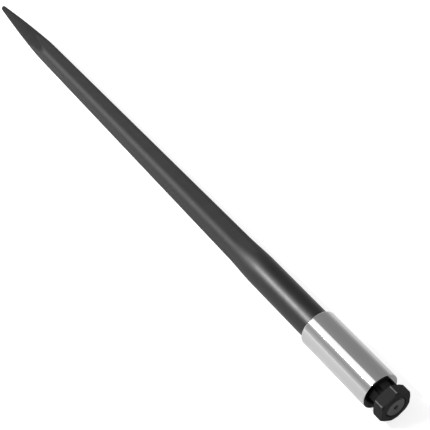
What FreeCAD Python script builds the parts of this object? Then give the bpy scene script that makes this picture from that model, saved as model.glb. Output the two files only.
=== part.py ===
import FreeCAD, Part
import math
import os
import Sketcher

# Bale spear for a loader frame: a forged bar with a tapered seat, a turned weld-on sleeve that the
# seat is drawn into, and a castle nut on the threaded end.
# Millimetres. X runs along the spear towards its point and Z is up. Sizes along the spear are
# counted from the sleeve's front end, and each piece is then placed so that the origin is the
# middle of the sleeve.

doc = FreeCAD.newDocument("bale_spear")
sizes = doc.addObject("Spreadsheet::Sheet", "Sizes")

VALUES = [
    # the bar, from the point back to the threaded end
    ("point_reach", 844.0),
    ("point_length", 160.0),
    ("tip_radius", 3.6),
    ("tip_edge_round", 2.0),
    ("point_quarter_radius", 7.6),
    ("point_half_radius", 11.2),
    ("point_three_quarter_radius", 14.1),
    ("point_root_radius", 16.1),
    ("front_flats", 24.4),
    ("front_corner", 7.8),
    ("rear_flats", 35.0),
    ("rear_corner", 10.8),
    ("square_end", 171.0),
    ("run_in_length", 8.0),
    ("shoulder_flats", 39.6),
    ("shoulder_corner", 16.0),
    ("shoulder_setback", 25.0),
    ("run_out_angle", 10.0),
    ("neck_setback", 53.0),
    ("shank_diameter", 43.8),
    ("seat_lead", 2.0),
    ("seat_setback", 8.0),
    ("seat_end_step", 2.0),
    ("stud_diameter", 28.0),
    ("stud_end_chamfer", 1.5),
    ("stud_reach", 1.0),
    ("centre_mouth_diameter", 8.5),
    ("centre_pilot_diameter", 3.5),
    ("centre_cone_angle", 60.0),
    ("centre_depth", 9.0),
    # the sleeve
    ("sleeve_length", 126.0),
    ("sleeve_wall", 4.6),
    ("sleeve_front_chamfer", 2.0),
    ("sleeve_rear_chamfer", 0.6),
    ("seat_clearance", 0.02),
    # the castle nut
    ("nut_flats", 43.8),
    ("nut_height", 15.5),
    ("nut_corner_drop", 1.5),
    ("nut_chamfer_angle", 30.0),
    ("nut_edge_round", 0.8),
    ("thread_clearance", 0.05),
    ("nut_countersink", 1.2),
    ("crown_inset", 1.9),
    ("crown_height", 13.5),
    ("crown_chamfer", 0.8),
    ("slot_width", 7.5),
    ("slot_floor", 0.5),
    ("slot_edge_round", 0.6),
]
for row, (alias, value) in enumerate(VALUES, start=1):
    sizes.set("A%d" % row, alias)
    sizes.set("B%d" % row, repr(value))
    sizes.setAlias("B%d" % row, alias)

# Sizes that follow from the ones above.
DERIVED = [
    ("taper_share", "run_in_length / (point_reach - square_end)"),
    ("run_in", "square_end + run_in_length"),
    ("run_in_flats", "rear_flats + (front_flats - rear_flats) * taper_share"),
    ("run_in_corner", "rear_corner + (front_corner - rear_corner) * taper_share"),
    ("shoulder", "square_end - shoulder_setback"),
    ("round_start", "square_end - neck_setback"),
    ("seat_end", "seat_setback - sleeve_length"),
    ("seat_end_diameter", "stud_diameter + 2 * seat_end_step"),
    ("seat_slope", "(shank_diameter - seat_end_diameter) / 2 / (seat_lead - seat_end)"),
    ("sleeve_diameter", "shank_diameter + 2 * sleeve_wall"),
    ("nut_bore_diameter", "stud_diameter + 2 * thread_clearance"),
    ("nut_mouth_diameter", "stud_diameter + 2 * thread_clearance + 2 * nut_countersink"),
    ("crown_diameter", "nut_flats - 2 * crown_inset"),
    ("slot_depth", "crown_height - slot_floor"),
    ("nut_back", "sleeve_length + crown_height"),
    ("nut_front", "sleeve_length + crown_height + nut_height"),
    ("stud_end", "sleeve_length + crown_height + nut_height + stud_reach"),
]
first = len(VALUES) + 1
for row, (alias, formula) in enumerate(DERIVED, start=first):
    sizes.set("A%d" % row, alias)
    sizes.set("B%d" % row, "=" + formula)
    sizes.setAlias("B%d" % row, alias)
doc.recompute()


def size(alias):
    return float(sizes.get(alias))


def new_body(name):
    body = doc.addObject("PartDesign::Body", name)
    body.Label = name
    body.setExpression(".Placement.Base.x", "Sizes.sleeve_length / 2")
    return body


def plane_of(body, role):
    for feature in body.Origin.OriginFeatures:
        if feature.Role == role:
            return feature
    raise ValueError("no plane " + role)


def new_sketch(body, name, role, offset=None):
    """A sketch on one of the body's own planes, moved along the plane's normal by a size."""
    sketch = body.newObject("Sketcher::SketchObject", name)
    sketch.AttachmentSupport = [(plane_of(body, role), "")]
    sketch.MapMode = "FlatFace"
    if offset:
        sketch.setExpression(".AttachmentOffset.Base.z", offset)
    return sketch


def rule(sketch, name, kind, places, formula, value):
    """A named dimension of a sketch, driven by the sizes."""
    index = sketch.addConstraint(Sketcher.Constraint(kind, *places, value))
    sketch.renameConstraint(index, name)
    sketch.setExpression("Constraints." + name, formula)


def outline(sketch, corners):
    """Closed outline of straight sides through corners, each (x, x formula, y, y formula).

    A formula of None pins the corner to the axis there.
    """
    points = [FreeCAD.Vector(c[0], c[2], 0) for c in corners]
    count = len(points)
    for i in range(count):
        sketch.addGeometry(Part.LineSegment(points[i], points[(i + 1) % count]), False)
    for i in range(count):
        sketch.addConstraint(Sketcher.Constraint("Coincident", i, 2, (i + 1) % count, 1))
    for i, (x, x_formula, y, y_formula) in enumerate(corners):
        if x_formula is None:
            sketch.addConstraint(Sketcher.Constraint("PointOnObject", i, 1, -2))
        else:
            rule(sketch, "x%d" % i, "DistanceX", (-1, 1, i, 1), x_formula, x)
        if y_formula is None:
            sketch.addConstraint(Sketcher.Constraint("PointOnObject", i, 1, -1))
        else:
            rule(sketch, "y%d" % i, "DistanceY", (-1, 1, i, 1), y_formula, y)


def rounded_square(sketch, flats, corner):
    """Square with rounded corners, centred on the axis; flats and corner are size names."""
    half, r = size(flats) / 2, size(corner)
    inner = half - r
    for k in range(4):
        a = k * math.pi / 2
        out = FreeCAD.Vector(math.cos(a), math.sin(a), 0)
        side = FreeCAD.Vector(-math.sin(a), math.cos(a), 0)
        sketch.addGeometry(Part.LineSegment(out * half - side * inner, out * half + side * inner))
        centre = out * inner + side * inner
        circle = Part.Circle(centre, FreeCAD.Vector(0, 0, 1), r)
        sketch.addGeometry(Part.ArcOfCircle(circle, a, a + math.pi / 2))
    for k in range(4):
        line, arc, following = 2 * k, 2 * k + 1, (2 * k + 2) % 8
        sketch.addConstraint(Sketcher.Constraint("Tangent", line, 2, arc, 1))
        sketch.addConstraint(Sketcher.Constraint("Tangent", arc, 2, following, 1))
        sketch.addConstraint(Sketcher.Constraint("Vertical" if k % 2 == 0 else "Horizontal", line))
    for k in range(1, 4):
        sketch.addConstraint(Sketcher.Constraint("Equal", 1, 2 * k + 1))
    sketch.addConstraint(Sketcher.Constraint("Symmetric", 1, 3, 5, 3, -1, 1))
    rule(sketch, "corner", "Radius", (1,), "Sizes." + corner, r)
    rule(sketch, "across_y", "DistanceX", (4, 1, 0, 1), "Sizes." + flats, 2 * half)
    rule(sketch, "across_z", "DistanceY", (6, 1, 2, 1), "Sizes." + flats, 2 * half)


def split_round(sketch, diameter, run_out):
    """Circle in eight arcs, one for each side and corner of the square that it is joined to."""
    r = size(diameter) / 2
    half = math.radians(size(run_out)) / 2
    circle = Part.Circle(FreeCAD.Vector(0, 0, 0), FreeCAD.Vector(0, 0, 1), r)
    for k in range(4):
        a = k * math.pi / 2
        sketch.addGeometry(Part.ArcOfCircle(circle, a - half, a + half))
        sketch.addGeometry(Part.ArcOfCircle(circle, a + half, a + math.pi / 2 - half))
    for g in range(8):
        sketch.addConstraint(Sketcher.Constraint("Coincident", g, 3, -1, 1))
    for g in range(7):
        sketch.addConstraint(Sketcher.Constraint("Coincident", g, 2, g + 1, 1))
    sketch.addConstraint(Sketcher.Constraint("DistanceY", 7, 2, 0, 1, 0.0))
    rule(sketch, "radius", "Radius", (0,), "Sizes.%s / 2" % diameter, r)
    chord = "Sizes.%s * sin(Sizes.%s / 2)" % (diameter, run_out)
    width = 2 * r * math.sin(half)
    rule(sketch, "side_0", "DistanceY", (0, 1, 0, 2), chord, width)
    rule(sketch, "side_1", "DistanceX", (2, 2, 2, 1), chord, width)
    rule(sketch, "side_2", "DistanceY", (4, 2, 4, 1), chord, width)
    rule(sketch, "side_3", "DistanceX", (6, 1, 6, 2), chord, width)
    sketch.addConstraint(Sketcher.Constraint("Symmetric", 0, 1, 0, 2, -1))
    sketch.addConstraint(Sketcher.Constraint("Symmetric", 2, 1, 2, 2, -2))
    sketch.addConstraint(Sketcher.Constraint("Symmetric", 4, 1, 4, 2, -1))


def loft(body, name, sketches, ruled):
    """A loft through the sketches in order; one that isn't ruled is smooth across them."""
    feature = body.newObject("PartDesign::AdditiveLoft", name)
    feature.Profile = sketches[0]
    feature.Sections = sketches[1:]
    feature.Ruled = ruled
    doc.recompute()
    return feature


def turned(body, name, kind, sketch):
    """A revolved feature about the spear's own axis."""
    feature = body.newObject("PartDesign::" + kind, name)
    feature.Profile = sketch
    feature.ReferenceAxis = (sketch, ["H_Axis"])
    feature.Angle = 360.0
    doc.recompute()
    return feature


def edges_where(shape, test):
    return ["Edge%d" % i for i, edge in enumerate(shape.Edges, start=1) if test(edge)]


# ---------------------------------------------------------------- the forged bar
spear = new_body("spear")

front = new_sketch(spear, "FrontSection", "YZ_Plane", "Sizes.point_reach")
rounded_square(front, "front_flats", "front_corner")
taper_end = new_sketch(spear, "TaperEnd", "YZ_Plane", "Sizes.run_in")
rounded_square(taper_end, "run_in_flats", "run_in_corner")
doc.recompute()
loft(spear, "TaperedBody", [front, taper_end], True)

# The flats run out on the round shank: the corners open up first, then the flats bulge.
run_in = new_sketch(spear, "RunIn", "YZ_Plane", "Sizes.run_in")
rounded_square(run_in, "run_in_flats", "run_in_corner")
rear = new_sketch(spear, "RearSection", "YZ_Plane", "Sizes.square_end")
rounded_square(rear, "rear_flats", "rear_corner")
shoulder = new_sketch(spear, "Shoulder", "YZ_Plane", "Sizes.shoulder")
rounded_square(shoulder, "shoulder_flats", "shoulder_corner")
neck = new_sketch(spear, "Neck", "YZ_Plane", "Sizes.round_start")
split_round(neck, "shank_diameter", "run_out_angle")
doc.recompute()
loft(spear, "SquareToRound", [run_in, rear, shoulder, neck], False)

# Round shank, tapered seat and stud, turned as one profile.
shank_profile = new_sketch(spear, "ShankProfile", "XZ_Plane")
outline(
    shank_profile,
    [
        (size("round_start"), "Sizes.round_start", 0.0, None),
        (size("round_start"), "Sizes.round_start",
         size("shank_diameter") / 2, "Sizes.shank_diameter / 2"),
        (size("seat_lead"), "Sizes.seat_lead",
         size("shank_diameter") / 2, "Sizes.shank_diameter / 2"),
        (size("seat_end"), "Sizes.seat_end",
         size("seat_end_diameter") / 2, "Sizes.seat_end_diameter / 2"),
        (size("seat_end"), "Sizes.seat_end",
         size("stud_diameter") / 2, "Sizes.stud_diameter / 2"),
        (-size("stud_end") + size("stud_end_chamfer"), "-Sizes.stud_end + Sizes.stud_end_chamfer",
         size("stud_diameter") / 2, "Sizes.stud_diameter / 2"),
        (-size("stud_end"), "-Sizes.stud_end",
         size("stud_diameter") / 2 - size("stud_end_chamfer"),
         "Sizes.stud_diameter / 2 - Sizes.stud_end_chamfer"),
        (-size("stud_end"), "-Sizes.stud_end", 0.0, None),
    ],
)
doc.recompute()
turned(spear, "ShankSeatAndStud", "Revolution", shank_profile)

# The point is forged round and slightly bellied, so that the four flats run out on it in curves.
point_profile = new_sketch(spear, "PointProfile", "XZ_Plane")
reach = size("point_reach")
length = size("point_length")
clear = (size("shank_diameter") / 2, "Sizes.shank_diameter / 2")
stations = [(0, "tip_radius"), (1, "point_quarter_radius"), (2, "point_half_radius"),
            (3, "point_three_quarter_radius"), (4, "point_root_radius")]
belly = []
for quarter, radius in stations:
    x_formula = "Sizes.point_reach - Sizes.point_length * %d / 4" % quarter
    belly.append((reach - length * quarter / 4, x_formula, size(radius), "Sizes." + radius))
root, root_formula = belly[-1][:2]
outline(point_profile, [(reach, "Sizes.point_reach") + clear] + belly + [(root, root_formula) + clear])
doc.recompute()
point = turned(spear, "Point", "Groove", point_profile)


def tip_edge(edge):
    return edge.BoundBox.XMin > size("point_reach") - 1e-3


tip = spear.newObject("PartDesign::Fillet", "TipRound")
tip.Base = (point, edges_where(point.Shape, tip_edge))
tip.setExpression("Radius", "Sizes.tip_edge_round")
doc.recompute()

# Centre-drilled hole that the bar was turned on.
centre_profile = new_sketch(spear, "CentreProfile", "XZ_Plane")
cone = (size("centre_mouth_diameter") - size("centre_pilot_diameter")) / 2
cone /= math.tan(math.radians(size("centre_cone_angle") / 2))
cone_formula = (
    "(Sizes.centre_mouth_diameter - Sizes.centre_pilot_diameter) / 2"
    " / tan(Sizes.centre_cone_angle / 2)"
)
outline(
    centre_profile,
    [
        (-size("stud_end"), "-Sizes.stud_end", 0.0, None),
        (-size("stud_end"), "-Sizes.stud_end",
         size("centre_mouth_diameter") / 2, "Sizes.centre_mouth_diameter / 2"),
        (-size("stud_end") + cone, "-Sizes.stud_end + " + cone_formula,
         size("centre_pilot_diameter") / 2, "Sizes.centre_pilot_diameter / 2"),
        (-size("stud_end") + size("centre_depth"), "-Sizes.stud_end + Sizes.centre_depth",
         size("centre_pilot_diameter") / 2, "Sizes.centre_pilot_diameter / 2"),
        (-size("stud_end") + size("centre_depth"), "-Sizes.stud_end + Sizes.centre_depth",
         0.0, None),
    ],
)
doc.recompute()
turned(spear, "CentreHole", "Groove", centre_profile)

# ---------------------------------------------------------------- the weld-on sleeve
sleeve = new_body("sleeve")


def bore_at(x, formula):
    """Radius of the tapered bore at x, as a value and a formula."""
    value = size("shank_diameter") / 2 - (size("seat_lead") - x) * size("seat_slope")
    text = "Sizes.shank_diameter / 2 - (Sizes.seat_lead - (%s)) * Sizes.seat_slope" % formula
    return value + size("seat_clearance"), text + " + Sizes.seat_clearance"


entry_radius, entry_formula = bore_at(0.0, "0")
exit_radius, exit_formula = bore_at(-size("sleeve_length"), "-Sizes.sleeve_length")
sleeve_profile = new_sketch(sleeve, "SleeveProfile", "XZ_Plane")
outline(
    sleeve_profile,
    [
        (0.0, None, entry_radius, entry_formula),
        (0.0, None, size("sleeve_diameter") / 2, "Sizes.sleeve_diameter / 2"),
        (-size("sleeve_length"), "-Sizes.sleeve_length",
         size("sleeve_diameter") / 2, "Sizes.sleeve_diameter / 2"),
        (-size("sleeve_length"), "-Sizes.sleeve_length", exit_radius, exit_formula),
    ],
)
doc.recompute()
turned_sleeve = turned(sleeve, "TurnedSleeve", "Revolution", sleeve_profile)


def outer_rim(x, radius):
    def test(edge):
        box = edge.BoundBox
        return abs(box.XMin - x) < 1e-4 and abs(box.XMax - x) < 1e-4 and box.ZMax > radius - 1e-3
    return test


front_chamfer = sleeve.newObject("PartDesign::Chamfer", "FrontChamfer")
front_chamfer.Base = (
    turned_sleeve,
    edges_where(turned_sleeve.Shape, outer_rim(0.0, size("sleeve_diameter") / 2)),
)
front_chamfer.setExpression("Size", "Sizes.sleeve_front_chamfer")
doc.recompute()
rear_chamfer = sleeve.newObject("PartDesign::Chamfer", "RearChamfer")
rear_chamfer.Base = (
    front_chamfer,
    edges_where(front_chamfer.Shape, outer_rim(-size("sleeve_length"), size("sleeve_diameter") / 2)),
)
rear_chamfer.setExpression("Size", "Sizes.sleeve_rear_chamfer")
doc.recompute()

# ---------------------------------------------------------------- the castle nut
nut = new_body("castle_nut")

hexagon = new_sketch(nut, "Hexagon", "YZ_Plane", "-Sizes.nut_front")
corner_radius = size("nut_flats") / math.sqrt(3)
tops = []
for k in range(6):
    a = math.radians(90 + 60 * k)
    tops.append(FreeCAD.Vector(corner_radius * math.cos(a), corner_radius * math.sin(a), 0))
for k in range(6):
    hexagon.addGeometry(Part.LineSegment(tops[k], tops[(k + 1) % 6]), False)
ring = hexagon.addGeometry(
    Part.Circle(FreeCAD.Vector(0, 0, 0), FreeCAD.Vector(0, 0, 1), corner_radius), True
)
hexagon.addConstraint(Sketcher.Constraint("Coincident", ring, 3, -1, 1))
for k in range(6):
    hexagon.addConstraint(Sketcher.Constraint("Coincident", k, 2, (k + 1) % 6, 1))
    hexagon.addConstraint(Sketcher.Constraint("PointOnObject", k, 1, ring))
for k in range(1, 6):
    hexagon.addConstraint(Sketcher.Constraint("Equal", 0, k))
hexagon.addConstraint(Sketcher.Constraint("PointOnObject", 0, 1, -2))
rule(hexagon, "across", "DistanceX", (1, 1, 4, 1), "Sizes.nut_flats", size("nut_flats"))
doc.recompute()
hex_block = nut.newObject("PartDesign::Pad", "HexBlock")
hex_block.Profile = hexagon
hex_block.setExpression("Length", "Sizes.nut_height")
doc.recompute()

long_edges = nut.newObject("PartDesign::Fillet", "HexEdges")
long_edges.Base = (
    hex_block,
    edges_where(hex_block.Shape, lambda e: e.BoundBox.XLength > size("nut_height") - 1e-3),
)
long_edges.setExpression("Radius", "Sizes.nut_edge_round")
doc.recompute()

crown_circle = new_sketch(nut, "CrownCircle", "YZ_Plane", "-Sizes.nut_back")
g = crown_circle.addGeometry(
    Part.Circle(FreeCAD.Vector(0, 0, 0), FreeCAD.Vector(0, 0, 1), size("crown_diameter") / 2), False
)
crown_circle.addConstraint(Sketcher.Constraint("Coincident", g, 3, -1, 1))
rule(crown_circle, "width", "Diameter", (g,), "Sizes.crown_diameter", size("crown_diameter"))
doc.recompute()
crown = nut.newObject("PartDesign::Pad", "Crown")
crown.Profile = crown_circle
crown.setExpression("Length", "Sizes.crown_height")
doc.recompute()

# Corner chamfers at both ends of the hexagon, turned at the usual shallow angle.
drop = size("nut_corner_drop")
run = drop / math.tan(math.radians(size("nut_chamfer_angle")))
top_radius = "Sizes.nut_flats / sqrt(3)"
run_formula = "Sizes.nut_corner_drop / tan(Sizes.nut_chamfer_angle)"
for label, sign, end in (("FrontCorners", 1, "-Sizes.nut_front"), ("BackCorners", -1, "-Sizes.nut_back")):
    at = -size("nut_front") if sign > 0 else -size("nut_back")
    profile = new_sketch(nut, label + "Profile", "XZ_Plane")
    step = "%s + %s" % (end, "Sizes.nut_corner_drop" if sign > 0 else "-Sizes.nut_corner_drop")
    outline(
        profile,
        [
            (at, end, corner_radius - run, "%s - %s" % (top_radius, run_formula)),
            (at, end, corner_radius, top_radius),
            (at + sign * drop, step, corner_radius, top_radius),
        ],
    )
    doc.recompute()
    turned(nut, label, "Groove", profile)

# Threaded bore, its countersink and the crown's outer edge.
bore = size("nut_bore_diameter") / 2
bore_formula = "Sizes.nut_bore_diameter / 2"
mouth = size("nut_mouth_diameter") / 2
mouth_formula = "Sizes.nut_mouth_diameter / 2"
bore_profile = new_sketch(nut, "BoreProfile", "XZ_Plane")
outline(
    bore_profile,
    [
        (-size("nut_front"), "-Sizes.nut_front", 0.0, None),
        (-size("nut_front"), "-Sizes.nut_front", mouth, mouth_formula),
        (-size("nut_front") + size("nut_countersink"), "-Sizes.nut_front + Sizes.nut_countersink",
         bore, bore_formula),
        (-size("sleeve_length"), "-Sizes.sleeve_length", bore, bore_formula),
        (-size("sleeve_length"), "-Sizes.sleeve_length", 0.0, None),
    ],
)
doc.recompute()
turned(nut, "Bore", "Groove", bore_profile)

rim = size("crown_diameter") / 2
rim_formula = "Sizes.crown_diameter / 2"
rim_profile = new_sketch(nut, "CrownRimProfile", "XZ_Plane")
outline(
    rim_profile,
    [
        (-size("sleeve_length"), "-Sizes.sleeve_length",
         rim - size("crown_chamfer"), rim_formula + " - Sizes.crown_chamfer"),
        (-size("sleeve_length"), "-Sizes.sleeve_length", rim, rim_formula),
        (-size("sleeve_length") - size("crown_chamfer"),
         "-Sizes.sleeve_length - Sizes.crown_chamfer", rim, rim_formula),
    ],
)
doc.recompute()
turned(nut, "CrownRim", "Groove", rim_profile)

# Slots across the crown: each cut makes an opposite pair, in line with two flats.
slot_profile = new_sketch(nut, "SlotProfile", "XZ_Plane")
half_slot = size("slot_width") / 2
outline(
    slot_profile,
    [
        (-size("sleeve_length"), "-Sizes.sleeve_length", half_slot, "Sizes.slot_width / 2"),
        (-size("sleeve_length") - size("slot_depth"), "-Sizes.sleeve_length - Sizes.slot_depth",
         half_slot, "Sizes.slot_width / 2"),
        (-size("sleeve_length") - size("slot_depth"), "-Sizes.sleeve_length - Sizes.slot_depth",
         -half_slot, "-Sizes.slot_width / 2"),
        (-size("sleeve_length"), "-Sizes.sleeve_length", -half_slot, "-Sizes.slot_width / 2"),
    ],
)
doc.recompute()
slot = nut.newObject("PartDesign::Pocket", "Slot")
slot.Profile = slot_profile
slot.Type = "ThroughAll"
slot.Midplane = True
doc.recompute()
slots = nut.newObject("PartDesign::PolarPattern", "Slots")
slots.Originals = [slot]
slots.Axis = (plane_of(nut, "X_Axis"), [""])
slots.Angle = 120.0
slots.Occurrences = 3
nut.Tip = slots
doc.recompute()


def slot_mouth(edge):
    """A straight edge along the axis on the crown's outside."""
    box = edge.BoundBox
    if box.XLength < size("slot_depth") / 2 or box.YLength > 1e-3 or box.ZLength > 1e-3:
        return False
    return abs(math.hypot(box.Center.y, box.Center.z) - rim) < 1e-3


slot_edges = nut.newObject("PartDesign::Fillet", "SlotEdges")
slot_edges.Base = (slots, edges_where(slots.Shape, slot_mouth))
slot_edges.setExpression("Radius", "Sizes.slot_edge_round")
nut.Tip = slot_edges
doc.recompute()

# ---------------------------------------------------------------- checks and files
for feature in doc.Objects:
    if "Invalid" in feature.State or "Error" in feature.State:
        raise RuntimeError("%s is not valid: %s" % (feature.Name, feature.State))

os.makedirs("parts", exist_ok=True)
for body in (spear, sleeve, nut):
    shape = body.Shape
    if shape.isNull() or not shape.isValid() or len(shape.Solids) != 1:
        raise RuntimeError("%s is not one valid solid" % body.Label)
    shape.exportStep("parts/%s.step" % body.Label)
    box = shape.BoundBox
    print("%s volume %.0f x %.2f..%.2f y %.2f..%.2f z %.2f..%.2f" % (
        body.Label, shape.Volume, box.XMin, box.XMax, box.YMin, box.YMax, box.ZMin, box.ZMax))
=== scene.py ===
import bpy
import math
from mathutils import Matrix, Vector


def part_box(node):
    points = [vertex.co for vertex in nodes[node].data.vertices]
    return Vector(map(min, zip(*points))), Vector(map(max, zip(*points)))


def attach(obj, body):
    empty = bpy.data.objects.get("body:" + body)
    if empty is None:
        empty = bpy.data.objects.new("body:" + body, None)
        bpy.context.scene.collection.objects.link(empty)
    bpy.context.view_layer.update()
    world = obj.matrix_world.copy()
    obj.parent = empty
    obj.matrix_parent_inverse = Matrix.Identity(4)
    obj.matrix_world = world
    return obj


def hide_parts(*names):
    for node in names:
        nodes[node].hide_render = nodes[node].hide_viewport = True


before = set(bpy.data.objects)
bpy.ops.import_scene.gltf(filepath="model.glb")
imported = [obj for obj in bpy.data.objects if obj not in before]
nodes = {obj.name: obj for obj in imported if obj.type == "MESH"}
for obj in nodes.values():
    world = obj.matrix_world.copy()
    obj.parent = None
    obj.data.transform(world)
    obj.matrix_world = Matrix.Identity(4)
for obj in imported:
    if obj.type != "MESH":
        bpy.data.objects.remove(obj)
scene = bpy.context.scene
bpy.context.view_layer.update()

MM = 0.001

# Driving sizes, in millimetres. They follow the part's source, apart from three places: the
# sleeve's front edge is round here, the centre hole's mouth has a broken edge and is a little
# wider, and the forged blend and the thread are finer forms of their own.
SLEEVE_LENGTH = 126.0
SLEEVE_RADIUS = 26.5
SLEEVE_FRONT_ROUND = 2.5
SLEEVE_REAR_CHAMFER = 0.6
SHANK_RADIUS = 21.9
SEAT_END_RADIUS = 16.0
SEAT_CLEARANCE = 0.02
STUD_RADIUS = 14.0
STUD_END_CHAMFER = 1.5
THREAD_PITCH = 1.5
THREAD_DEPTH = 0.92
THREAD_CREST_SHARE = 0.125
THREAD_FLANK_SHARE = 0.78
CENTRE_DEPTH = 9.0
CENTRE_PILOT_RADIUS = 1.75
CENTRE_MOUTH_RADIUS = 4.4
SQUARE_REAR_HALF = 17.45
SQUARE_REAR_CORNER = 10.75
SQUARE_FRONT_HALF = 12.2
SQUARE_FRONT_CORNER = 7.8
POINT_LENGTH = 160.0
POINT_TIP_RADIUS = 3.6
POINT_SWELL = 17.9
POINT_BELLY = 5.4
POINT_EDGE_ROUND = 2.0
POINT_RUN_OUT = 40.0
POINT_BLEND = 0.5

# Mesh settings: points around each ring, and the radius at which a ring counts as closed.
BAR_SIDES = 96
SLEEVE_SIDES = 192
RINGS_PER_PITCH = 10
CLOSED_RADIUS = 0.02
SHARP_ANGLE = math.radians(35)

# Places along the spear, in millimetres from the middle of the sleeve.
SLEEVE_FRONT = SLEEVE_LENGTH / 2
SLEEVE_REAR = -SLEEVE_LENGTH / 2
STUD_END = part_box("spear")[0].x / MM
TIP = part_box("spear")[1].x / MM
CROWN_REAR = SLEEVE_REAR - 13.5
SEAT_LEAD = SLEEVE_FRONT + 2.0
SEAT_END = SLEEVE_REAR + 8.0
ROUND_START = SLEEVE_FRONT + 118.0
SQUARE_END = SLEEVE_FRONT + 177.0
FINE_POINT = TIP - 190.0
FINE_TIP = TIP - 4.0


# ---------------------------------------------------------------- the bar's form
def smoothstep(value, low, high):
    u = min(max((value - low) / (high - low), 0.0), 1.0)
    return u * u * (3 - 2 * u)


def mix(a, b, share):
    return a + (b - a) * share


def squareness(x):
    """0 on the round shank, 1 where the bar is fully square."""
    return smoothstep(x, ROUND_START, SQUARE_END)


def square_size(x):
    """Half the width over the flats, and the corner radius, of the tapered square."""
    share = (x - SQUARE_END) / (TIP - SQUARE_END)
    half = mix(SQUARE_REAR_HALF, SQUARE_FRONT_HALF, share)
    corner = mix(SQUARE_REAR_CORNER, SQUARE_FRONT_CORNER, share)
    return half, corner


def square_radius(half, corner, angle):
    """Distance from the axis to a rounded square's outline in the given direction."""
    folded = abs((angle + math.pi / 4) % (math.pi / 2) - math.pi / 4)
    inner = half - corner
    if half * math.tan(folded) <= inner:
        return half / math.cos(folded)
    reach = inner * (math.cos(folded) + math.sin(folded))
    return reach + math.sqrt(max(corner * corner - 2 * inner * inner + reach * reach, 0.0))


def point_radius(x):
    """The bellied point, with the tip's edge rounded off."""
    edge = POINT_EDGE_ROUND
    into = TIP - x
    if into < edge:
        rise = math.sqrt(max(edge * edge - (edge - into) ** 2, 0.0))
        return point_radius(TIP - edge) - edge + rise
    u = into / POINT_LENGTH
    return POINT_TIP_RADIUS + POINT_SWELL * u - POINT_BELLY * u * u


def soft_least(a, b, blend):
    """The smaller of two values, rounded where they cross."""
    h = max(blend - abs(a - b), 0.0) / blend
    return min(a, b) - h * h * blend / 4


def seat_radius(x):
    """The tapered seat, from the step above the stud to the shank."""
    return mix(SEAT_END_RADIUS, SHANK_RADIUS, (x - SEAT_END) / (SEAT_LEAD - SEAT_END))


def bar_radius(x, angle):
    """The bar's outline in front of the stud: seat, shank, blend, tapered square and point."""
    if x < SEAT_LEAD:
        return seat_radius(x)
    if x <= ROUND_START:
        return SHANK_RADIUS
    half, corner = square_size(max(x, SQUARE_END))
    share = squareness(x)
    half = mix(SHANK_RADIUS, half, share)
    corner = mix(SHANK_RADIUS, corner, share)
    radius = square_radius(half, min(corner, half), angle)
    if x > TIP - POINT_LENGTH - POINT_RUN_OUT:
        radius = soft_least(radius, point_radius(x), min(POINT_BLEND, TIP - x + 0.001))
    return radius


def thread_radius(x, angle):
    """The stud's thread: a 60 degree ridge with a small flat crest and a rounded root."""
    turn = (x / THREAD_PITCH - angle / (2 * math.pi)) % 1.0
    from_crest = abs(turn - 0.5) * 2 - THREAD_CREST_SHARE
    flank = min(max(from_crest / THREAD_FLANK_SHARE, 0.0), 1.0)
    depth = THREAD_DEPTH * flank
    into = x - STUD_END
    chamfer = max(STUD_END_CHAMFER - into, 0.0)
    return min(STUD_RADIUS - depth, STUD_RADIUS - chamfer)


# ---------------------------------------------------------------- mesh helpers
def ring_mesh(name, rings, count):
    """Skin through rings of points about the spear's axis; each ring is (x, radius function)."""
    verts = []
    for x, radius in rings:
        for k in range(count):
            a = 2 * math.pi * k / count
            r = radius(a) * MM
            verts.append((x * MM, r * math.cos(a), r * math.sin(a)))
    faces = []
    for i in range(len(rings) - 1):
        for k in range(count):
            n = (k + 1) % count
            here = i * count
            there = here + count
            faces.append((here + k, here + n, there + n, there + k))
    mesh = bpy.data.meshes.new(name)
    mesh.from_pydata(verts, [], faces)
    mesh.shade_smooth()
    mesh.set_sharp_from_angle(angle=SHARP_ANGLE)
    obj = bpy.data.objects.new(name, mesh)
    scene.collection.objects.link(obj)
    return obj


def add_piece(obj, replaced):
    """Hang the piece on the root body and hide the CAD nodes that it stands for."""
    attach(obj, "root")
    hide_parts(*replaced)


def stations(start, end, step):
    """Even places from start to end, close to the given step."""
    count = max(1, round((end - start) / step))
    return [start + (end - start) * i / count for i in range(count + 1)]


def constant(radius):
    """A ring's radius function for a plain circle."""
    return lambda angle: radius


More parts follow.
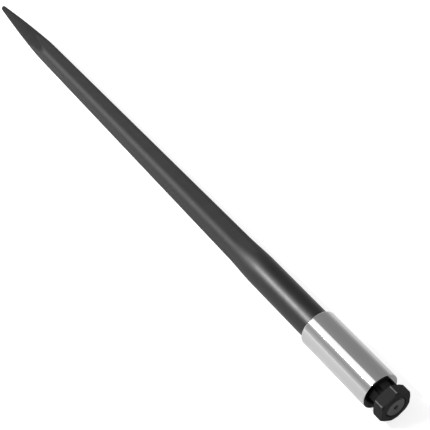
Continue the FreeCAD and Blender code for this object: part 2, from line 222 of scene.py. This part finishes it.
def build_bar():
    """The spear, from the bottom of its centre hole, over the stud, to the tip."""
    centre_hole = [
        (CENTRE_DEPTH, CLOSED_RADIUS),
        (CENTRE_DEPTH - 0.02, CENTRE_PILOT_RADIUS),
        (4.33, CENTRE_PILOT_RADIUS),
        (0.12, CENTRE_MOUTH_RADIUS - 0.28),
        (0.0, CENTRE_MOUTH_RADIUS - 0.08),
        (0.0, CENTRE_MOUTH_RADIUS),
        (0.0, STUD_RADIUS - STUD_END_CHAMFER - 0.2),
        (0.0, STUD_RADIUS - STUD_END_CHAMFER),
    ]
    rings = [(STUD_END + depth, constant(r)) for depth, r in centre_hole]
    for x in stations(STUD_END + 0.15, SEAT_END - 0.2, THREAD_PITCH / RINGS_PER_PITCH):
        rings.append((x, lambda angle, x=x: thread_radius(x, angle)))
    rings.append((SEAT_END, constant(STUD_RADIUS - 0.8)))
    rings.append((SEAT_END, constant(SEAT_END_RADIUS)))
    # Each stretch of the bar: where it starts, where it ends, and the step between its rings.
    stretches = [
        (SEAT_END, SEAT_LEAD, 20.0),
        (SEAT_LEAD, ROUND_START, 6.0),
        (ROUND_START, SQUARE_END, 1.5),
        (SQUARE_END, FINE_POINT, 5.0),
        (FINE_POINT, FINE_TIP, 1.5),
        (FINE_TIP, TIP - 0.02, 0.2),
    ]
    for start, end, step in stretches:
        for x in stations(start, end, step)[1:]:
            rings.append((x, lambda angle, x=x: bar_radius(x, angle)))
    rings.append((TIP, constant(0.6)))
    rings.append((TIP, constant(CLOSED_RADIUS)))
    bar = ring_mesh("forged_bar", rings, BAR_SIDES)
    add_piece(bar, ["spear"])
    return bar


def build_sleeve():
    """The turned sleeve, its bore clear of the spear's seat by the named clearance."""
    def bore(x):
        return seat_radius(x) + SEAT_CLEARANCE

    profile = [(SLEEVE_REAR, bore(SLEEVE_REAR))]
    profile.append((SLEEVE_REAR, SLEEVE_RADIUS - SLEEVE_REAR_CHAMFER))
    profile.append((SLEEVE_REAR + SLEEVE_REAR_CHAMFER, SLEEVE_RADIUS))
    r = SLEEVE_FRONT_ROUND
    round_steps = 10
    for i in range(round_steps + 1):
        a = math.pi / 2 * (1 - i / round_steps)
        profile.append((SLEEVE_FRONT - r + r * math.cos(a), SLEEVE_RADIUS - r + r * math.sin(a)))
    profile.append((SLEEVE_FRONT, bore(SLEEVE_FRONT)))
    profile.append((SLEEVE_REAR, bore(SLEEVE_REAR)))
    rings = [(x, constant(r)) for x, r in profile]
    sleeve = ring_mesh("turned_sleeve", rings, SLEEVE_SIDES)
    add_piece(sleeve, ["sleeve"])
    return sleeve


# ---------------------------------------------------------------- node helpers
class Tree:
    """A material's node tree with short calls for the nodes used here."""

    def __init__(self, name):
        self.material = bpy.data.materials.new(name)
        self.material.use_nodes = True
        self.tree = self.material.node_tree
        self.shader = self.tree.nodes["Principled BSDF"]
        place = self.tree.nodes.new("ShaderNodeTexCoord")
        self.place = place.outputs["Object"]
        split = self.tree.nodes.new("ShaderNodeSeparateXYZ")
        self.link(self.place, split.inputs[0])
        self.x, self.y, self.z = split.outputs

    def link(self, source, target):
        self.tree.links.new(source, target)

    def plug(self, value, socket):
        """Join a node's output to the socket, or set the socket to a plain value."""
        if isinstance(value, bpy.types.NodeSocket):
            self.link(value, socket)
        else:
            socket.default_value = value

    def math(self, operation, a, b=0.0):
        node = self.tree.nodes.new("ShaderNodeMath")
        node.operation = operation
        self.plug(a, node.inputs[0])
        self.plug(b, node.inputs[1])
        return node.outputs[0]

    def ramp(self, value, low, high, out_low=0.0, out_high=1.0):
        """A smooth step from out_low to out_high as the value goes from low to high."""
        node = self.tree.nodes.new("ShaderNodeMapRange")
        node.interpolation_type = "SMOOTHSTEP"
        self.plug(value, node.inputs["Value"])
        self.plug(low, node.inputs["From Min"])
        self.plug(high, node.inputs["From Max"])
        self.plug(out_low, node.inputs["To Min"])
        self.plug(out_high, node.inputs["To Max"])
        return node.outputs["Result"]

    def axis_distance(self):
        y_squared = self.math("MULTIPLY", self.y, self.y)
        z_squared = self.math("MULTIPLY", self.z, self.z)
        return self.math("SQRT", self.math("ADD", y_squared, z_squared))

    def noise(self, scale, detail=4.0, rough=0.55, stretch=None):
        node = self.tree.nodes.new("ShaderNodeTexNoise")
        node.inputs["Scale"].default_value = scale
        node.inputs["Detail"].default_value = detail
        node.inputs["Roughness"].default_value = rough
        source = self.place
        if stretch:
            scaled = self.tree.nodes.new("ShaderNodeMapping")
            scaled.inputs["Scale"].default_value = stretch
            self.link(self.place, scaled.inputs["Vector"])
            source = scaled.outputs["Vector"]
        self.link(source, node.inputs["Vector"])
        return node.outputs["Fac"]

    def colours(self, factor, a, b):
        node = self.tree.nodes.new("ShaderNodeMix")
        node.data_type = "RGBA"
        self.plug(factor, node.inputs["Factor"])
        self.plug(a, node.inputs["A"])
        self.plug(b, node.inputs["B"])
        return node.outputs["Result"]

    def bump(self, height, distance, strength, under=None):
        node = self.tree.nodes.new("ShaderNodeBump")
        node.inputs["Strength"].default_value = strength
        node.inputs["Distance"].default_value = distance
        self.link(height, node.inputs["Height"])
        if under:
            self.link(under, node.inputs["Normal"])
        return node.outputs["Normal"]


def grey(value):
    return (value, value, value, 1)


# ---------------------------------------------------------------- materials
def black_paint():
    t = Tree("black_paint")
    radius = t.axis_distance()
    # The shank is turned and its paint is smoother; the forged flats lie inside it.
    near_sleeve = t.ramp(t.x, 0.13, 0.26, 1.0, 0.0)
    turned = t.math("MULTIPLY", t.ramp(radius, 0.0200, 0.0216), near_sleeve)
    # The point is ground: its paint is dull where the cone has cut the flats away.
    u = t.math("DIVIDE", t.math("SUBTRACT", TIP * MM, t.x), POINT_LENGTH * MM)
    slope = t.math("SUBTRACT", POINT_SWELL * MM, t.math("MULTIPLY", u, POINT_BELLY * MM))
    cone = t.math("ADD", POINT_TIP_RADIUS * MM, t.math("MULTIPLY", u, slope))
    inside = t.math("SUBTRACT", cone, radius)
    near_point = t.ramp(t.x, 0.745, 0.765)
    ground = t.math("MULTIPLY", t.ramp(inside, 0.0002, 0.0008, 1.0, 0.0), near_point)
    # The stud's end is smoother, and the paint on its face is worn thin.
    at_end = t.math("LESS_THAN", t.x, (STUD_END + 1.4) * MM)
    face = t.math("MULTIPLY", at_end, t.math("LESS_THAN", radius, 0.0124))
    mottle = t.noise(60.0, 5.0)
    grain = t.noise(900.0, 3.0)
    rough = t.ramp(turned, 0.0, 1.0, 0.66, 0.42)
    rough = t.math("ADD", rough, t.math("MULTIPLY", ground, 0.3))
    rough = t.math("ADD", rough, t.ramp(mottle, 0.3, 0.7, -0.02, 0.02))
    rough = t.math("SUBTRACT", rough, t.math("MULTIPLY", at_end, 0.32))
    t.link(rough, t.shader.inputs["Roughness"])
    dust = t.ramp(t.math("MULTIPLY", mottle, t.noise(7.0, 2.0)), 0.15, 0.45)
    forged = t.colours(dust, grey(0.009), grey(0.013))
    colour = t.colours(t.math("MAXIMUM", turned, ground), forged, grey(0.003))
    thin_paint = t.colours(t.noise(500.0), grey(0.02), grey(0.10))
    colour = t.colours(face, colour, thin_paint)
    t.link(colour, t.shader.inputs["Base Color"])
    t.shader.inputs["IOR"].default_value = 1.62
    scale_bump = t.bump(mottle, 0.0003, 0.25)
    t.link(t.bump(grain, 0.00006, 0.35, scale_bump), t.shader.inputs["Normal"])
    return t.material


def bright_steel():
    t = Tree("bright_steel")
    marks = t.noise(1.0, 3.0, 0.6, stretch=(2600.0, 6.0, 6.0))
    smear = t.noise(1.0, 3.0, 0.5, stretch=(12.0, 60.0, 60.0))
    # Painted shade: the lower half of the rear face, next to the nut, is darkened almost to black.
    rear = t.math("LESS_THAN", t.x, (SLEEVE_REAR + 0.2) * MM)
    low = t.ramp(t.math("SUBTRACT", t.y, t.math("MULTIPLY", t.z, 0.5)), -0.004, 0.006)
    painted_rear_shade = t.math("MULTIPLY", rear, low)
    colour = t.colours(smear, grey(0.74), grey(0.80))
    t.link(t.colours(painted_rear_shade, colour, grey(0.02)), t.shader.inputs["Base Color"])
    t.shader.inputs["Metallic"].default_value = 1.0
    rough = t.math("ADD", t.ramp(marks, 0.2, 0.8, 0.10, 0.13), t.math("MULTIPLY", rear, 0.15))
    t.link(rough, t.shader.inputs["Roughness"])
    t.link(t.bump(marks, 0.00001, 0.1), t.shader.inputs["Normal"])
    return t.material


def black_nut():
    t = Tree("black_nut")
    radius = t.axis_distance()
    mottle = t.noise(140.0, 5.0)
    # The oxide is rubbed off along the corners of the hexagon, and their lighter colour is also a
    # painted highlight along those edges.
    ragged = t.math("ADD", radius, t.ramp(mottle, 0.3, 0.7, -0.00006, 0.00006))
    worn_and_highlit = t.ramp(ragged, 0.02475, 0.02488)
    crown = t.math("GREATER_THAN", t.x, (CROWN_REAR + 0.1) * MM)
    mouth = t.math("LESS_THAN", radius, 0.0153)
    front = t.math("LESS_THAN", t.x, (STUD_END + 1.05) * MM)
    colour = t.colours(mottle, grey(0.016), grey(0.022))
    colour = t.colours(front, colour, grey(0.032))
    # Painted shade: the crown and the mouth round the stud are darkened almost to black.
    shaded = t.math("MAXIMUM", t.math("MULTIPLY", crown, 0.8), mouth)
    colour = t.colours(shaded, colour, grey(0.002))
    colour = t.colours(worn_and_highlit, colour, grey(0.12))
    t.link(colour, t.shader.inputs["Base Color"])
    oxide_rough = t.ramp(mottle, 0.2, 0.8, 0.82, 0.9)
    rough = t.math("SUBTRACT", oxide_rough, t.math("MULTIPLY", worn_and_highlit, 0.4))
    t.link(rough, t.shader.inputs["Roughness"])
    t.shader.inputs["IOR"].default_value = 1.3
    t.link(t.bump(mottle, 0.0001, 0.4), t.shader.inputs["Normal"])
    return t.material


def dress(obj, material):
    obj.data.materials.clear()
    obj.data.materials.append(material)


dress(build_bar(), black_paint())
dress(build_sleeve(), bright_steel())
dress(nodes["castle_nut"], black_nut())


# ---------------------------------------------------------------- floor, light and camera
# Grey levels of the setting, where 1 is white.
FLOOR_COLOUR = 0.5
FLOOR_SEEN = 0.78
FLOOR_MIRRORED = 0.16
HORIZON_LIGHT = 0.64
SKY_LIGHT = 0.38
OVERHEAD_LIGHT = 0.33
FLOOR_HALF_WIDTH = 60.0


def floor_material():
    """A plain floor that keeps the shadow, with a glow for the camera and a weaker one for mirrors."""
    material = bpy.data.materials.new("floor")
    material.use_nodes = True
    tree = material.node_tree
    tree.nodes.clear()
    out = tree.nodes.new("ShaderNodeOutputMaterial")
    diffuse = tree.nodes.new("ShaderNodeBsdfDiffuse")
    diffuse.inputs["Color"].default_value = grey(FLOOR_COLOUR)
    glow = tree.nodes.new("ShaderNodeEmission")
    path = tree.nodes.new("ShaderNodeLightPath")
    gloss = tree.nodes.new("ShaderNodeMath")
    gloss.operation = "MULTIPLY"
    gloss.inputs[1].default_value = FLOOR_MIRRORED
    tree.links.new(path.outputs["Is Glossy Ray"], gloss.inputs[0])
    strength = tree.nodes.new("ShaderNodeMath")
    strength.operation = "MULTIPLY_ADD"
    strength.inputs[1].default_value = FLOOR_SEEN
    tree.links.new(path.outputs["Is Camera Ray"], strength.inputs[0])
    tree.links.new(gloss.outputs[0], strength.inputs[2])
    tree.links.new(strength.outputs[0], glow.inputs["Strength"])
    add = tree.nodes.new("ShaderNodeAddShader")
    tree.links.new(diffuse.outputs[0], add.inputs[0])
    tree.links.new(glow.outputs[0], add.inputs[1])
    tree.links.new(add.outputs[0], out.inputs["Surface"])
    return material


def build_floor():
    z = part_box("sleeve")[0].z
    half = FLOOR_HALF_WIDTH
    corners = [(-half, -half, z), (half, -half, z), (half, half, z), (-half, half, z)]
    mesh = bpy.data.meshes.new("floor")
    mesh.from_pydata(corners, [], [(0, 1, 2, 3)])
    mesh.materials.append(floor_material())
    floor = bpy.data.objects.new("floor", mesh)
    scene.collection.objects.link(floor)


def build_world():
    """White to the camera and through glass; a grey studio, palest at the horizon, to the rest."""
    world = bpy.data.worlds.new("studio")
    scene.world = world
    world.use_nodes = True
    tree = world.node_tree
    back = tree.nodes["Background"]
    path = tree.nodes.new("ShaderNodeLightPath")
    seen = tree.nodes.new("ShaderNodeMath")
    seen.operation = "MAXIMUM"
    tree.links.new(path.outputs["Is Camera Ray"], seen.inputs[0])
    tree.links.new(path.outputs["Is Transmission Ray"], seen.inputs[1])
    place = tree.nodes.new("ShaderNodeTexCoord")
    split = tree.nodes.new("ShaderNodeSeparateXYZ")
    tree.links.new(place.outputs["Generated"], split.inputs[0])
    fade = tree.nodes.new("ShaderNodeValToRGB")
    stops = fade.color_ramp.elements
    stops[0].position = 0.0
    stops[0].color = grey(HORIZON_LIGHT)
    stops[1].position = 0.30
    stops[1].color = grey(SKY_LIGHT)
    last = stops.new(0.8)
    last.color = grey(OVERHEAD_LIGHT)
    tree.links.new(split.outputs["Z"], fade.inputs["Fac"])
    side = tree.nodes.new("ShaderNodeMapRange")
    side.inputs["From Min"].default_value = -0.6
    side.inputs["From Max"].default_value = 0.3
    side.inputs["To Min"].default_value = 0.78
    side.inputs["To Max"].default_value = 1.0
    tree.links.new(split.outputs["Y"], side.inputs["Value"])
    dimmed = tree.nodes.new("ShaderNodeVectorMath")
    dimmed.operation = "SCALE"
    tree.links.new(fade.outputs["Color"], dimmed.inputs[0])
    tree.links.new(side.outputs["Result"], dimmed.inputs["Scale"])
    mixed = tree.nodes.new("ShaderNodeMix")
    mixed.data_type = "RGBA"
    tree.links.new(dimmed.outputs["Vector"], mixed.inputs["A"])
    mixed.inputs["B"].default_value = (1, 1, 1, 1)
    tree.links.new(seen.outputs[0], mixed.inputs["Factor"])
    tree.links.new(mixed.outputs["Result"], back.inputs["Color"])


def strip(name, x_from, x_to, distance, angle, width, radiance):
    """A softbox parallel to the spear; angle is measured about the spear from -Y up through +Z."""
    lamp = bpy.data.lights.new(name, "AREA")
    lamp.shape = "RECTANGLE"
    lamp.size = x_to - x_from
    lamp.size_y = width
    lamp.energy = radiance * math.pi * lamp.size * lamp.size_y
    obj = bpy.data.objects.new(name, lamp)
    scene.collection.objects.link(obj)
    a = math.radians(angle)
    away = Vector((0, -math.cos(a), math.sin(a)))
    along = Vector((1, 0, 0))
    rotation = Matrix((along, away.cross(along), away)).transposed().to_4x4()
    middle = Vector(((x_from + x_to) / 2, 0, 0)) + away * distance
    obj.matrix_world = Matrix.Translation(middle) @ rotation
    obj.visible_camera = False


def build_camera():
    """The camera, at the view fitted to the photograph."""
    data = bpy.data.cameras.new("camera")
    camera = bpy.data.objects.new("camera", data)
    scene.collection.objects.link(camera)
    scene.camera = camera
    data.sensor_width = 36
    data.lens = 114.92
    data.clip_end = 200
    camera.location = (-0.82245, 0.76127, 1.30347)
    look = Vector((0.59764, -0.40790, -0.69025))
    camera.rotation_euler = look.to_track_quat("-Z", "Y").to_euler()


build_floor()
build_world()
strip("overhead", 0.5, 2.1, 2.0, 129.0, 0.14, 96.0)
strip("fill", 0.0, 3.2, 2.0, 113.0, 0.75, 0.9)
build_camera()
scene.view_settings.view_transform = "Standard"
